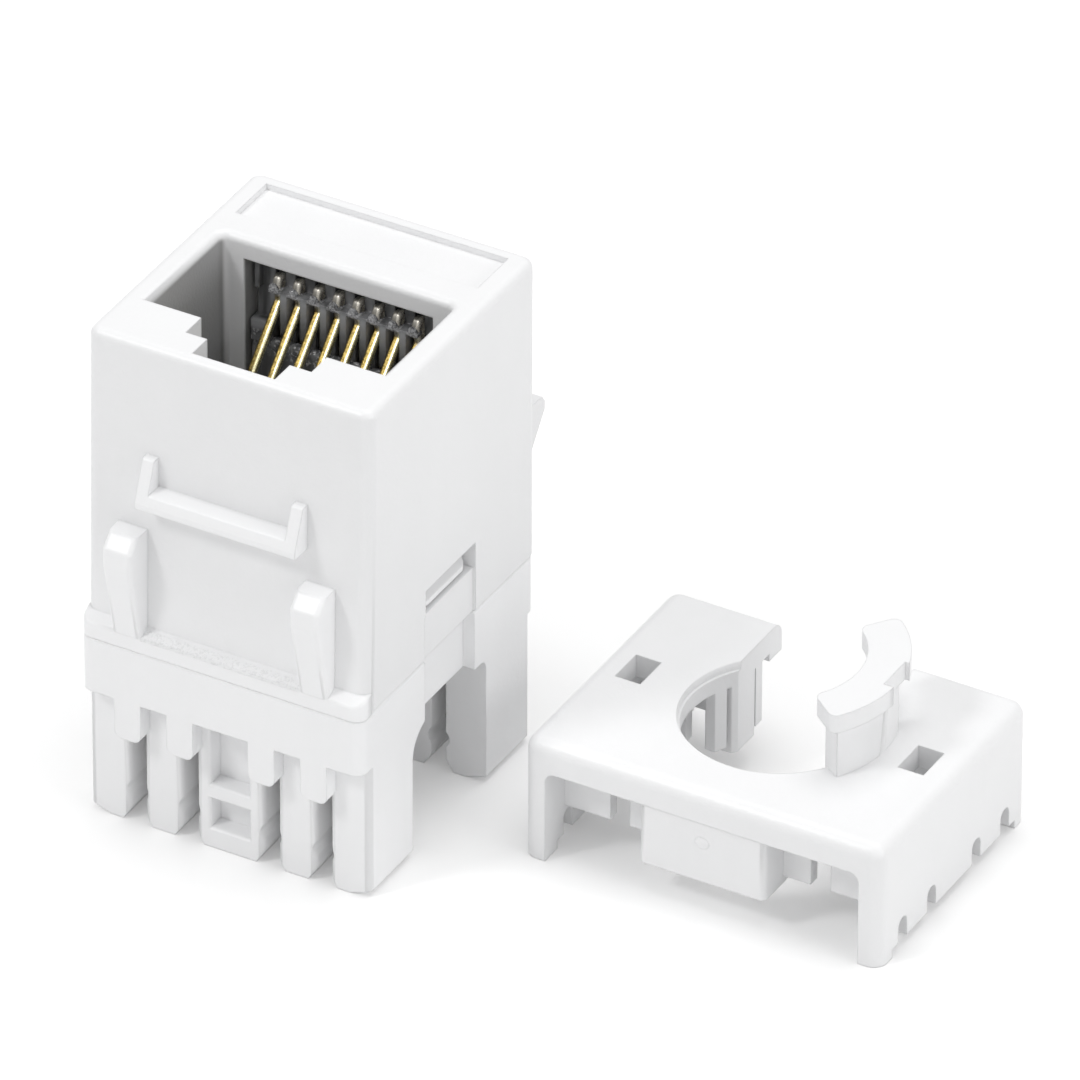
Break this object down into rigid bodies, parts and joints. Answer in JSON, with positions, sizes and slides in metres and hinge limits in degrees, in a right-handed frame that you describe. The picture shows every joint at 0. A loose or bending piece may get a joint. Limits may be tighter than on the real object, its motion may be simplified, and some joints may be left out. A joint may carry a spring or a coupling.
{
  "type": "keystone jack",
  "caption": "Snap-in network jack module for a keystone panel opening, with RJ45 socket, spring contacts, punch-down wire towers, spring latch and separate wiring cap.",
  "frame": {"origin": "middle of the footprint of the jack and its cap, on the surface they stand on", "axes": "+X from the jack to its cap, along the row of contacts; +Y towards the spring latch; +Z out of the port"},
  "size_m": [0.0368, 0.0218, 0.0257],
  "materials": {
    "housing_plastic": "satin white moulded plastic",
    "block_plastic": "satin white moulded plastic",
    "cap_plastic": "satin white moulded plastic",
    "carrier_plastic": "smoky dark moulded plastic",
    "board_laminate": "glass laminate with solder mask",
    "contact_gold": "gold-plated wire, tinned at the bend",
    "terminal_metal": "tin-plated bronze"
  },
  "bodies": {
    "jack": {"front_housing": "housing_plastic", "rear_block": "block_plastic", "contact_carrier": "carrier_plastic", "circuit_board": "board_laminate", "contact_1": "contact_gold", "contact_2": "contact_gold", "contact_3": "contact_gold", "contact_4": "contact_gold", "contact_5": "contact_gold", "contact_6": "contact_gold", "contact_7": "contact_gold", "contact_8": "contact_gold", "terminal_1": "terminal_metal", "terminal_2": "terminal_metal", "terminal_3": "terminal_metal", "terminal_4": "terminal_metal", "terminal_5": "terminal_metal", "terminal_6": "terminal_metal", "terminal_7": "terminal_metal", "terminal_8": "terminal_metal", "wiring_cap": "cap_plastic"},
    "latch": {"panel_latch": "housing_plastic"}
  },
  "joints": [
    {"name": "latch_flex", "type": "hinge", "parent": "jack", "child": "latch", "pos_m": [-0.01117, 0.00725, 0.01075], "axis": [1, 0, 0], "range_deg": [0, 8], "stiffness_Nm_per_rad": 0.01}
  ]
}
